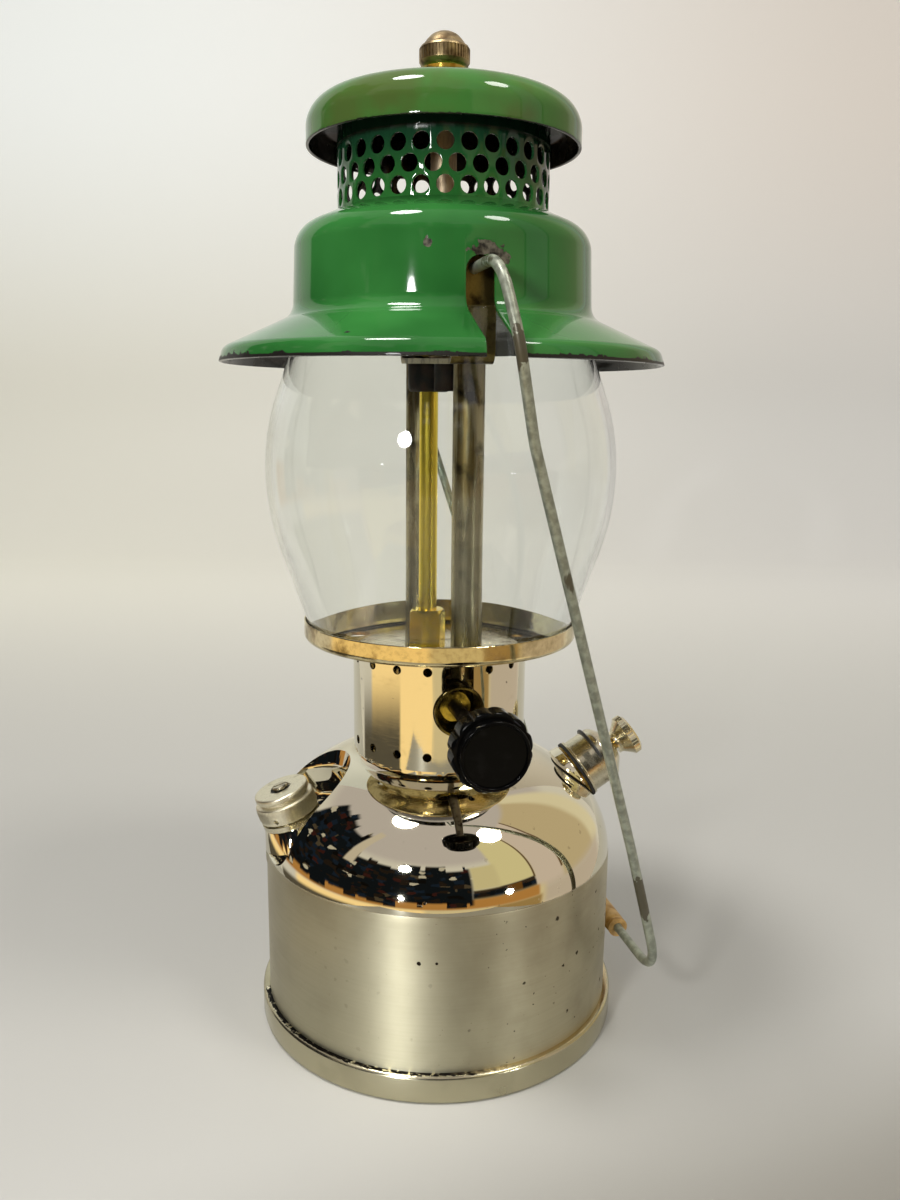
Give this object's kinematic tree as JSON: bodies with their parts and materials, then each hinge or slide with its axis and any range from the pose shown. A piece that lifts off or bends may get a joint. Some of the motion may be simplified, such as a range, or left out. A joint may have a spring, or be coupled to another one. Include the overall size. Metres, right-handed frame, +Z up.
{
  "type": "gas lantern",
  "caption": "Pressure gas lantern: plated fount with filler and pump, valve wheel, clear globe on a tray, green enamel ventilator and a wire carrying bail.",
  "frame": {"origin": "centre of the base's flat underside, on the lantern's axis", "axes": "+Z up along the axis; the valve wheel points to -Y, the pump to +X and the filler to -X"},
  "size_m": [0.1496, 0.1518, 0.3301],
  "materials": {
    "fount_plate": "polished nickel plate, satin on the wall",
    "base_plate": "nickel plate, worn along the crimp",
    "collar_plate": "polished nickel plate",
    "satin_nickel": "satin nickel",
    "burner_nickel": "nickel with brown heat tint",
    "brass": "plain brass",
    "generator_brass": "bright brass",
    "nut_brass": "bright brass, stained",
    "tray_brass": "pale brass with brown stains",
    "knob_brass": "dull brass with nickel remains",
    "aged_brass": "brown patina",
    "dark_steel": "dull steel",
    "screw_steel": "plated steel",
    "burnt_iron": "heat-blackened",
    "pale_sleeve": "dull, stained",
    "green_enamel": "glossy enamel, black inside",
    "wheel_black": "glossy",
    "black_rubber": "matt",
    "black_wire": "satin",
    "leather": "oiled",
    "zinc_wire": "dull zinc with dark patches",
    "tan_grip": "smooth fibre sleeve",
    "clear_glass": "clear"
  },
  "bodies": {
    "fount": {"fount_shell": "fount_plate", "fount_base": "base_plate", "fount_bushing": "brass", "pickup_tube": "brass", "filler_neck": "satin_nickel", "pump_tube": "brass", "check_valve": "brass", "pump_gasket": "black_rubber", "pump_cap": "satin_nickel", "pump_clip": "black_wire", "valve_body": "brass", "packing_nut": "nut_brass", "stem_shield": "nut_brass", "frame_collar": "collar_plate", "globe_tray": "tray_brass", "globe": "clear_glass", "generator_nut": "generator_brass", "generator_tube": "generator_brass", "gas_tip": "brass", "mixing_chamber": "burnt_iron", "burner_cap": "burnt_iron", "air_tube": "burner_nickel", "support_tube": "burner_nickel", "top_bracket": "burnt_iron", "vent_stud": "dark_steel", "stud_sleeve": "pale_sleeve"},
    "cleaning_rod": {"cleaning_rod": "dark_steel"},
    "valve": {"valve_stem": "dark_steel", "valve_wheel": "wheel_black"},
    "filler_insert": {"filler_insert": "satin_nickel", "filler_gasket": "black_rubber"},
    "filler_cap": {"filler_cap": "satin_nickel", "filler_cap_screw": "screw_steel"},
    "plunger": {"plunger_rod": "brass", "pump_cup": "leather"},
    "pump_knob": {"pump_knob": "knob_brass"},
    "air_stem": {"air_stem": "brass"},
    "ventilator": {"hood": "green_enamel", "vent_band": "green_enamel", "vent_cap": "green_enamel"},
    "ball_nut": {"ball_nut": "aged_brass"},
    "bail": {"bail_wire": "zinc_wire"},
    "bail_grip": {"bail_grip": "tan_grip"}
  },
  "joints": [
    {"name": "bail_swing", "type": "hinge", "parent": "fount", "child": "bail", "pos_m": [0, 0, 0.25439], "axis": [0, -1, 0], "range_deg": [0, 326]},
    {"name": "grip_turn", "type": "hinge", "parent": "bail", "child": "bail_grip", "pos_m": [0.0652, 0, 0.026], "axis": [0, 1, 0], "continuous": true},
    {"name": "valve_turn", "type": "hinge", "parent": "fount", "child": "valve", "pos_m": [0, -0.03, 0.11777], "axis": [0, -1, 0], "range_deg": [0, 540]},
    {"name": "tip_clean", "type": "slide", "parent": "fount", "child": "cleaning_rod", "axis": [0, 0, 1], "range_m": [0, 0.0015]},
    {"name": "ventilator_lift", "type": "slide", "parent": "fount", "child": "ventilator", "axis": [0, 0, 1], "range_m": [0, 0.08]},
    {"name": "ball_nut_turn", "type": "hinge", "parent": "ventilator", "child": "ball_nut", "pos_m": [0, 0, 0.32], "axis": [0, 0, 1], "continuous": true},
    {"name": "filler_rise", "type": "slide", "parent": "fount", "child": "filler_insert", "axis": [-0.3173, 0, 0.9483], "range_m": [0, 0.006]},
    {"name": "filler_turn", "type": "hinge", "parent": "filler_insert", "child": "filler_cap", "pos_m": [-0.0531, 0, 0.0754], "axis": [-0.3173, 0, 0.9483], "range_deg": [0, 1440]},
    {"name": "pump_stroke", "type": "slide", "parent": "fount", "child": "plunger", "axis": [0.8453, 0, 0.5344], "range_m": [0, 0.036]},
    {"name": "pump_knob_turn", "type": "hinge", "parent": "plunger", "child": "pump_knob", "pos_m": [0.053, 0, 0.0834], "axis": [0.8453, 0, 0.5344], "range_deg": [0, 360]},
    {"name": "air_stem_turn", "type": "hinge", "parent": "fount", "child": "air_stem", "pos_m": [0.053, 0, 0.0834], "axis": [0.8453, 0, 0.5344], "range_deg": [0, 360]}
  ],
  "couplings": [
    {"joint": "valve_turn", "follows": "tip_clean", "rad_per_m": 6276.9},
    {"joint": "filler_turn", "follows": "filler_rise", "rad_per_m": 4184.6},
    {"joint": "air_stem_turn", "follows": "pump_knob_turn", "ratio": 1}
  ]
}
